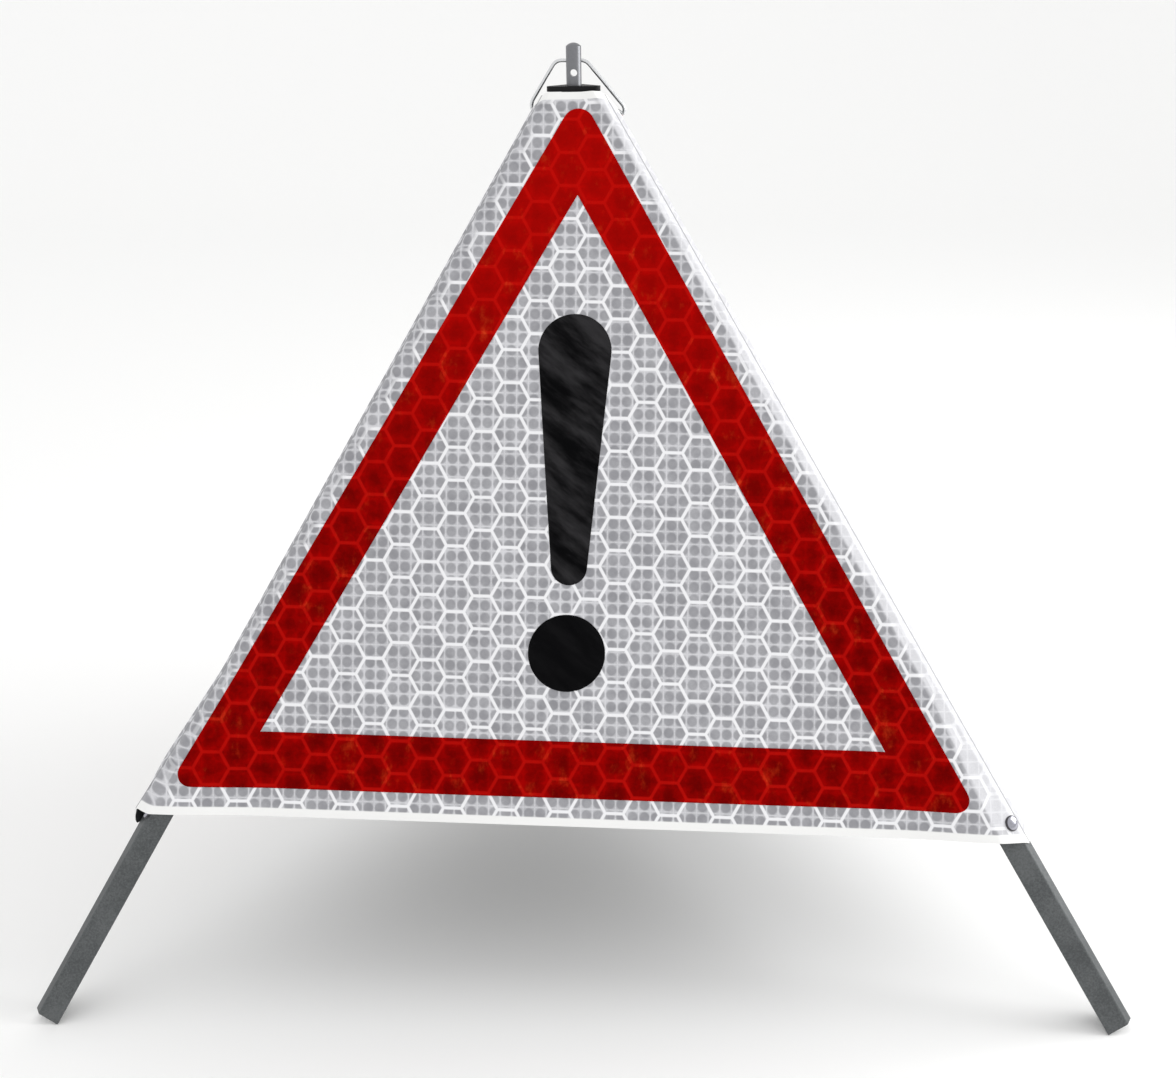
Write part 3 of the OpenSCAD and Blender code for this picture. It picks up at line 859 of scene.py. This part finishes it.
# Points at equal steps along a line, or at steps of 1 - cos t, which crowd at its ends
def resampled(points, count, crowded=False):
    length = np.concatenate([[0], np.cumsum(np.hypot(*np.diff(points, axis=0).T))])
    share = np.linspace(0, 1, count)
    if crowded:
        share = (1 - np.cos(math.pi * share)) / 2
    at = share * length[-1]
    return np.stack([np.interp(at, length, points[:, i]) for i in (0, 1)], -1)


# Half of a triangle with half its top angle given: the line from its top to its corner and
# the one along its foot. Its tip and its corner, of radius r, are rounded unless r is 0.
def halfTriangle(half, top, foot, tip, r):
    corner = (foot - top) * math.tan(half)
    if r == 0:
        return np.array([[0, top], [corner, foot]]), np.array([[corner, foot], [0, foot]])
    turn, split = np.linspace(0, 1, redShape["arcSteps"]), redShape["arcSplit"]
    crown = turn * (math.pi / 2 - half)
    crownAt = top + tip / math.sin(half)
    crownArc = np.stack([tip * np.sin(crown), crownAt - tip * np.cos(crown)], -1)
    centreU = corner - r / math.tan((math.pi / 2 - half) / 2)
    bend = (math.pi / 2 - half) + turn * (math.pi / 2 + half)
    bendArc = np.stack([centreU + r * np.sin(bend), foot - r - r * np.cos(bend)], -1)
    return np.concatenate([crownArc, bendArc[:split + 1]]), np.concatenate([bendArc[split:], [[0, foot]]])


# Part of a line of points on one side of the crease, cut where it crosses
def oneSide(line, side):
    across = side * line[:, 0]
    keep = np.flatnonzero(across > 0)
    first, last = keep[0], keep[-1]
    found = line[first:last + 1]
    if first > 0:
        t = across[first] / (across[first] - across[first - 1])
        found = np.concatenate([[line[first] + t * (line[first - 1] - line[first])], found])
    if last < len(line) - 1:
        t = across[last] / (across[last] - across[last + 1])
        found = np.concatenate([found, [line[last] + t * (line[last + 1] - line[last])]])
    return found


# Outline on one side of the crease: from the crease at the top to the corner, then to
# the crease at the foot
def sideOutline(face, side, *triangle):
    fall, run = (resampled(line, redShape["fineSteps"]) for line in halfTriangle(*triangle))
    mirror = np.array([-1, 1])
    falling = np.concatenate([(fall * mirror)[::-1], fall[1:]]) * [side, 1]
    running = np.concatenate([run, (run * mirror)[::-1][1:]]) * [side, 1]
    lines = []
    for line in (falling, running):
        lines.append(oneSide(np.stack(seated(face, line[:, 0], line[:, 1]), -1), side))
    return lines


# Border between two triangles. Its tip stays a gap below the sheet's top edge, so it is a
# little blunter on a face that is cut lower.
def redGrid(name):
    face, side = halves[name][:2]
    half = math.radians(redShape["halfAngle"])
    foot = slant - redShape["lift"]
    rounded = redShape["tip"] * (1 / math.sin(half) - 1)
    highest = faceTop(name) + redShape["topGap"] - rounded - sheetSeat["drops"][face]
    top = max(foot - redShape["side"] / 2 / math.tan(half), highest)
    half = math.atan(redShape["side"] / 2 / (foot - top))
    outer = sideOutline(face, side, half, top, foot, redShape["tip"], redShape["corner"])
    innerTop = top + redShape["width"] / math.sin(half)
    inner = sideOutline(face, side, half, innerTop, foot - redShape["footWidth"], 0, 0)
    sideSteps, footSteps = redShape["sideSteps"], redShape["footSteps"]
    outerPath, innerPath = (
        np.concatenate([resampled(fall, sideSteps, True), resampled(run, footSteps, True)[1:]])
        for fall, run in (outer, inner)
    )
    share = np.linspace(0, 1, redShape["across"])[:, None, None]
    grid = outerPath + share * (innerPath - outerPath)
    return filmPoints(name, grid[..., 0], grid[..., 1], redShape["proud"])


# Points of a film a little proud of the sheet, with the sheet's own map
def filmPoints(name, u, v, proud):
    face = halves[name][0]
    h = faceHeight(name, np.abs(u), v) + proud
    sheetMap = np.stack([*unseated(face, u, v), inFromEdge(u, v)], -1)
    return onFace(face, u, v, h), {"sheetMap": sheetMap}


# Black mark in metres: a tapering bar with round ends over a round dot
markShape = {
    "topWidth": 0.057,
    "footWidth": 0.028,
    "height": 0.211,
    "gap": 0.023,
    "dot": 0.060,
    "dotLift": 0.074,
    "lean": 0.0146,
    "shift": 0.0032,
    "proud": 0.00035,
    "thickness": 0.0003,
    "endAngle": 0.05,
    "topSteps": 24,
    "barSteps": 22,
    "footSteps": 20,
    "dotSteps": 40,
    "across": 8,
    "leastWidth": 0.0004,
}


# Bar: |u| <= r1 sin a round the top end, then a straight taper, then r2 sin a. Each row
# is cut at the crease, where u - b (v - w) + m = 0. The front mark is printed m = c - l v askew.
def markGrids(name):
    size = markShape
    face, side = halves[name][:2]
    _, lean, _, about = seatOf(face)
    dotAt = slant - redShape["lift"] - redShape["width"] - size["dotLift"]
    dotR = size["dot"] / 2
    barFoot = dotAt - dotR - size["gap"]
    r1, r2 = size["topWidth"] / 2, size["footWidth"] / 2
    c1, c2 = barFoot - size["height"] + r1, barFoot - r2
    tilt = math.asin((r1 - r2) / (c2 - c1))
    endAngle = size["endAngle"]

    def arc(r, centre, turn):
        return np.stack([r * np.sin(turn), centre - r * np.cos(turn)], -1)

    topArc = arc(r1, c1, np.linspace(endAngle, math.pi / 2 + tilt, size["topSteps"]))
    footArc = arc(r2, c2, np.linspace(math.pi / 2 + tilt, math.pi - endAngle, size["footSteps"]))
    taper = np.linspace(0, 1, size["barSteps"])[1:-1, None] * (footArc[0] - topArc[-1]) + topArc[-1]
    bar = np.concatenate([topArc, taper, footArc])
    dot = arc(dotR, dotAt, np.linspace(endAngle, math.pi - endAngle, size["dotSteps"]))
    grids = []
    for line in (bar, dot):
        moved = (face == 0) * (size["shift"] - size["lean"] * line[:, 1])
        crease = side * (lean * (line[:, 1] - about) - moved)
        low = np.maximum(-line[:, 0], crease)
        kept = line[:, 0] - low > size["leastWidth"]
        low, line, moved = low[kept][:, None], line[kept], moved[kept][:, None]
        u = side * (low + np.linspace(0, 1, size["across"]) * (line[:, :1] - low))
        faceU, faceV = seated(face, u + moved, line[:, 1:] + 0 * u)
        grids.append(filmPoints(name, faceU, faceV, size["proud"]))
    return grids


def faceNormal(face):
    local = np.array([0, -math.cos(faceLean), math.sin(faceLean)])
    return turnedAboutZ(local, faceTurn(face))


# Where a fold starts and ends, in metres from its hinge, how much further off it is beside
# the right rivet, and how far down the face this is measured, as a share
foldShape = {
    "start": -0.003,
    "end": 0.011,
    "pastRivet": 0.006,
    "measuredAt": 0.6,
}


# Works out where a fold from the lap on the leg to the flat of the face would run, then only bakes the
# piece's transform into its mesh; nothing is bent
def bendWithLeg(piece, name):
    face, side, leg, body = halves[name]
    q = frameSize["sheetStart"]
    v = slant * foldShape["measuredAt"]
    past = foldShape["pastRivet"] if name == "front_right" else 0.0
    ends = []
    for shift in (foldShape["start"], foldShape["end"]):
        ends.append(onFace(face, side * acrossAt(q + shift + past, v), v, 0.0))
    across = ends[1] - ends[0]
    down = onLeg(leg, 0.0, 0.0, 1.0) - apex
    across = across - down * (across @ down)
    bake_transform(piece)


for name, (face, side, leg, body) in halves.items():
    faceName, sideName = name.split("_")
    sideWord = sideName.capitalize()
    outwards = faceNormal(face)
    points, maps, flatSize, area = sheetGrid(name)
    clothName = faceName + "Sheet" + sideWord
    cloth = skinMesh(clothName, [(points, maps)], sheetShape["thickness"], outwards, (0, 1, 2))
    for material in (whiteSheet, plain["sheetBack"], plain["bandWhite"]):
        cloth.data.materials.append(material)
    red = skinMesh(faceName + "Red" + sideWord, [redGrid(name)], redShape["thickness"], outwards)
    red.data.materials.append(redFilm)
    mark = skinMesh(faceName + "Mark" + sideWord, markGrids(name), markShape["thickness"], outwards)
    mark.data.materials.append(blackFilm)
    for piece in (cloth, red, mark):
        bendWithLeg(piece, name)
    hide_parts(faceName + "_sheet_" + sideName, body.replace("leg", "wrap"))
    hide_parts(faceName + "_red_" + sideName)
    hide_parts(faceName + "_mark_" + sideName)
    print(name, "flat", [round(x, 4) for x in flatSize], "area", round(area, 5))
print("sheets made")

# Bent wire bail, in metres: the corners of each side in the plane of the wire, from its
# pivot end to the top, as the wire was bent
bailShape = {
    "wire": 0.0015,
    "bend": 0.0045,
    "left": ((-0.0031, 0), (-0.0345, 0), (-0.0347, 0.007), (-0.0146, 0.0385)),
    "right": ((0.0031, 0), (0.0345, 0), (0.0385, -0.004), (0.0396, 0.002), (0.0092, 0.0385)),
    "back": 0.011,
    "pivotDepth": 0.06467,
    "lean": 3.332,
    "around": 16,
    "bendSteps": 9,
    "mostOfRun": 0.49,
}


# Tube of circles r (cos a, sin a) set across a path of points
def tubeMesh(name, path, radius, around, flatAxis):
    along = np.gradient(path, axis=0)
    along /= np.linalg.norm(along, axis=1)[:, None]
    second = np.broadcast_to(np.array(flatAxis), path.shape)
    first = np.cross(along, second)
    first /= np.linalg.norm(first, axis=1)[:, None]
    angle = np.linspace(0, 2 * math.pi, around, endpoint=False)
    ring = np.cos(angle)[:, None] * first[:, None, :] + np.sin(angle)[:, None] * second[:, None, :]
    points = path[:, None, :] + radius * ring
    rows, columns = points.shape[:2]
    index = np.arange(rows * columns).reshape(rows, columns)
    turned = np.roll(index, -1, 1)
    quads = np.stack([index[:-1], turned[:-1], turned[1:], index[1:]], -1).reshape(-1, 4)
    faces = quads[:, ::-1].tolist() + [index[0].tolist(), index[-1][::-1].tolist()]
    smoothFaces = np.concatenate([np.ones(len(quads), bool), np.zeros(2, bool)])
    return addMesh(name, points.reshape(-1, 3), faces, smoothFaces)


# Corner points joined by straight runs and quadratic bends of the given size
def bentPath(corners, size):
    path = [corners[:1]]
    turn = np.linspace(0, 1, bailShape["bendSteps"])[:, None]
    most = bailShape["mostOfRun"]
    for before, at, after in zip(corners[:-2], corners[1:-1], corners[2:]):
        runIn, runOut = np.linalg.norm(before - at), np.linalg.norm(after - at)
        reach = min(size, runIn * most, runOut * most)
        start = at + (before - at) / runIn * reach
        end = at + (after - at) / runOut * reach
        path.append((1 - turn) ** 2 * start + 2 * turn * (1 - turn) * at + turn ** 2 * end)
    path.append(corners[-1:])
    return np.concatenate(path)


corners = np.array(bailShape["left"] + bailShape["right"][::-1])
plane = bentPath(corners, bailShape["bend"])
lean = math.radians(bailShape["lean"])
path = np.stack([plane[:, 0], -plane[:, 1] * math.sin(lean), plane[:, 1] * math.cos(lean)], -1)
path = path + apex + np.array([0, bailShape["back"], -bailShape["pivotDepth"]])
wireNormal = [0, math.cos(lean), math.sin(lean)]
bail = tubeMesh("bentBail", path, bailShape["wire"], bailShape["around"], wireNormal)
bail.data.materials.append(plain["brightSteel"])
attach(bail, "bail")
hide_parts("carry_bail")
print("bail made")

# Domed corner rivets, in metres and degrees. For the left, right and rear leg: the place down
# the leg, the shift off the nose's middle, how far it is sunk and its turn.
rivetShape = {
    "places": (0.702, 0.705, 0.706),
    "sideways": (0, -0.0082, 0),
    "sunk": (0.0015, 0.0012, 0),
    "turns": (0, -22, 0),
    "head": 0.0062,
    "rim": 0.0050,
    "height": 0.0026,
    "shank": 0.0024,
    "depth": 0.0034,
    "point": 0.0001,
    "around": 32,
    "domeSteps": 12,
}


# Turned profile: (r, h) = (head cos a, height sin a) over a straight shank, set on the nose
# or turned on to the facet beside it
def rivetMesh(name, leg):
    head, foot, rise = rivetShape["head"], frameSize["sheetOutside"], rivetShape["height"]
    angle = np.linspace(0, math.pi / 2, rivetShape["domeSteps"])[:-1]
    radius = np.concatenate([[rivetShape["shank"]] * 2, head * np.cos(angle), [rivetShape["point"]]])
    height = np.concatenate([[-rivetShape["depth"] - foot, 0], rise * np.sin(angle), [rise]])[:, None]
    around = np.linspace(0, 2 * math.pi, rivetShape["around"], endpoint=False)
    across = radius[:, None] * np.cos(around)
    turn = math.radians(rivetShape["turns"][leg])
    x = foot - noseIn - rivetShape["sunk"][leg] + height * math.cos(turn) - across * math.sin(turn)
    y = rivetShape["sideways"][leg] + height * math.sin(turn) + across * math.cos(turn)
    s = rivetShape["places"][leg] + radius[:, None] * np.sin(around)
    points = onLeg(leg, x, y, s)
    index = np.arange(x.size).reshape(x.shape)
    turned = np.roll(index, -1, 1)
    quads = np.stack([index[:-1], index[1:], turned[1:], turned[:-1]], -1).reshape(-1, 4)
    faces = quads.tolist() + [index[0].tolist(), index[-1][::-1].tolist()]
    ring = np.repeat(np.arange(len(x) - 1), x.shape[1])  # shank, underside, then the dome
    flatEnds = np.zeros(2, bool)
    piece = addMesh(name, points.reshape(-1, 3), faces, np.concatenate([ring > 1, flatEnds]))
    # Painted shade: the underside and outer edge of the dome take a dark material
    rim = (radius[1:][ring] > rivetShape["rim"]) & (ring > 0)
    piece.data.polygons.foreach_set("material_index", np.concatenate([rim, flatEnds]).astype(np.int32))
    piece.data.materials.append(plain["rivetSteel"])
    piece.data.materials.append(plain["rivetRimShade"])
    return piece


for leg, place in enumerate(("left", "right", "rear")):
    rivet = rivetMesh("cornerRivet" + place.capitalize(), leg)
    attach(rivet, "leg_" + place)
    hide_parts("corner_rivet_" + place)
print("rivets made")

# Finishes of the frame's own solids, by how their names start. The longest start that fits
# a name holds.
finishes = {
    "head_hub": plain["hubSteel"],
    "head_cap": plain["blackCap"],
    "lamp_spigot": plain["spigotSteel"],
    "spigot_washer": plain["brightSteel"],
    "spigot_nut": plain["brightSteel"],
    "hinge_pin": plain["brightSteel"],
    "tongue_rivets": plain["brightSteel"],
    "tongue": plain["hubSteel"],
    "leg": legSteel,
}
for node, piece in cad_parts.items():
    found = [key for key in finishes if node.startswith(key)]
    if found:
        piece.data.materials.clear()
        piece.data.materials.append(finishes[max(found, key=len)])
print("finishes set")

# Floor that curves up behind the object, in metres, and the light
stageSize = {
    "floorWide": 16.0,
    "floorFront": -6.0,
    "curveStart": 4.0,
    "curveRadius": 3.0,
    "wallTop": 9.0,
    "curveSteps": 24,
    "floorColour": (0.94, 0.94, 0.935, 1),
    "floorRoughness": 0.8,
    "worldColour": (1, 1, 1, 1),
    "world": 1.0,
    "key": 34.0,
    "keyPlace": (2.2, 0.10, 1.2),
    "keyAim": (0, -0.2, 0.35),
    "keyWide": 1.4,
}
turn = np.linspace(0, math.pi / 2, stageSize["curveSteps"])
curveY = stageSize["curveStart"] + stageSize["curveRadius"] * np.sin(turn)
curveZ = stageSize["curveRadius"] * (1 - np.cos(turn))
profileY = np.concatenate([[stageSize["floorFront"]], curveY, curveY[-1:]])
profileZ = np.concatenate([[0.0], curveZ, [stageSize["wallTop"]]])
across = np.array([-0.5, 0.5]) * stageSize["floorWide"]
floorPoints = np.stack(np.broadcast_arrays(across, profileY[:, None], profileZ[:, None]), -1)
floorQuads = gridQuads(np.arange(len(profileY) * 2).reshape(-1, 2))[:, ::-1]
floor = addMesh("paleFloor", floorPoints.reshape(-1, 3), floorQuads.tolist(), np.ones(len(floorQuads), bool))
floorMaterial, _, floorShader = newMaterial("paleFloor")
floorShader.inputs["Base Color"].default_value = stageSize["floorColour"]
floorShader.inputs["Roughness"].default_value = stageSize["floorRoughness"]
floor.data.materials.append(floorMaterial)

world = bpy.data.worlds.new("studio")
bpy.context.scene.world = world
world.use_nodes = True
background = world.node_tree.nodes["Background"]
background.inputs[0].default_value = stageSize["worldColour"]
background.inputs[1].default_value = stageSize["world"]

keyLight = bpy.data.lights.new("key", "AREA")
keyLight.energy = stageSize["key"]
keyLight.size = stageSize["keyWide"]
keyLamp = bpy.data.objects.new("key", keyLight)
keyLamp.location = stageSize["keyPlace"]
keyWay = Vector(stageSize["keyAim"]) - Vector(stageSize["keyPlace"])
keyLamp.rotation_euler = keyWay.to_track_quat("-Z", "Y").to_euler()
bpy.context.scene.collection.objects.link(keyLamp)

# Camera at the photograph's angle, in degrees, metres and millimetres of lens and film
cameraView = {
    "azimuth": 2.30,
    "elevation": 19.72,
    "distance": 1.1485,
    "roll": -0.902,
    "target": (0.01136, -0.27045, 0.37145),
    "lens": 45.92,
    "film": 36,
}
azimuth, elevation = (math.radians(cameraView[key]) for key in ("azimuth", "elevation"))
towards = Vector((
    math.sin(azimuth) * math.cos(elevation),
    -math.cos(azimuth) * math.cos(elevation),
    math.sin(elevation),
))
cameraData = bpy.data.cameras.new("photoCamera")
cameraData.lens = cameraView["lens"]
cameraData.sensor_fit = "HORIZONTAL"
cameraData.sensor_width = cameraView["film"]
camera = bpy.data.objects.new("photoCamera", cameraData)
rightwards = (-towards).cross(Vector((0, 0, 1))).normalized()
upwards = rightwards.cross(-towards)
roll = math.radians(cameraView["roll"])
rolledRight = math.cos(roll) * rightwards + math.sin(roll) * upwards
rolledUp = -math.sin(roll) * rightwards + math.cos(roll) * upwards
basis = Matrix((rolledRight, rolledUp, towards)).transposed().to_4x4()
basis.translation = Vector(cameraView["target"]) + towards * cameraView["distance"]
camera.matrix_world = basis
bpy.context.scene.collection.objects.link(camera)
bpy.context.scene.camera = camera
bpy.context.scene.view_settings.view_transform = "Standard"
print("stage set")
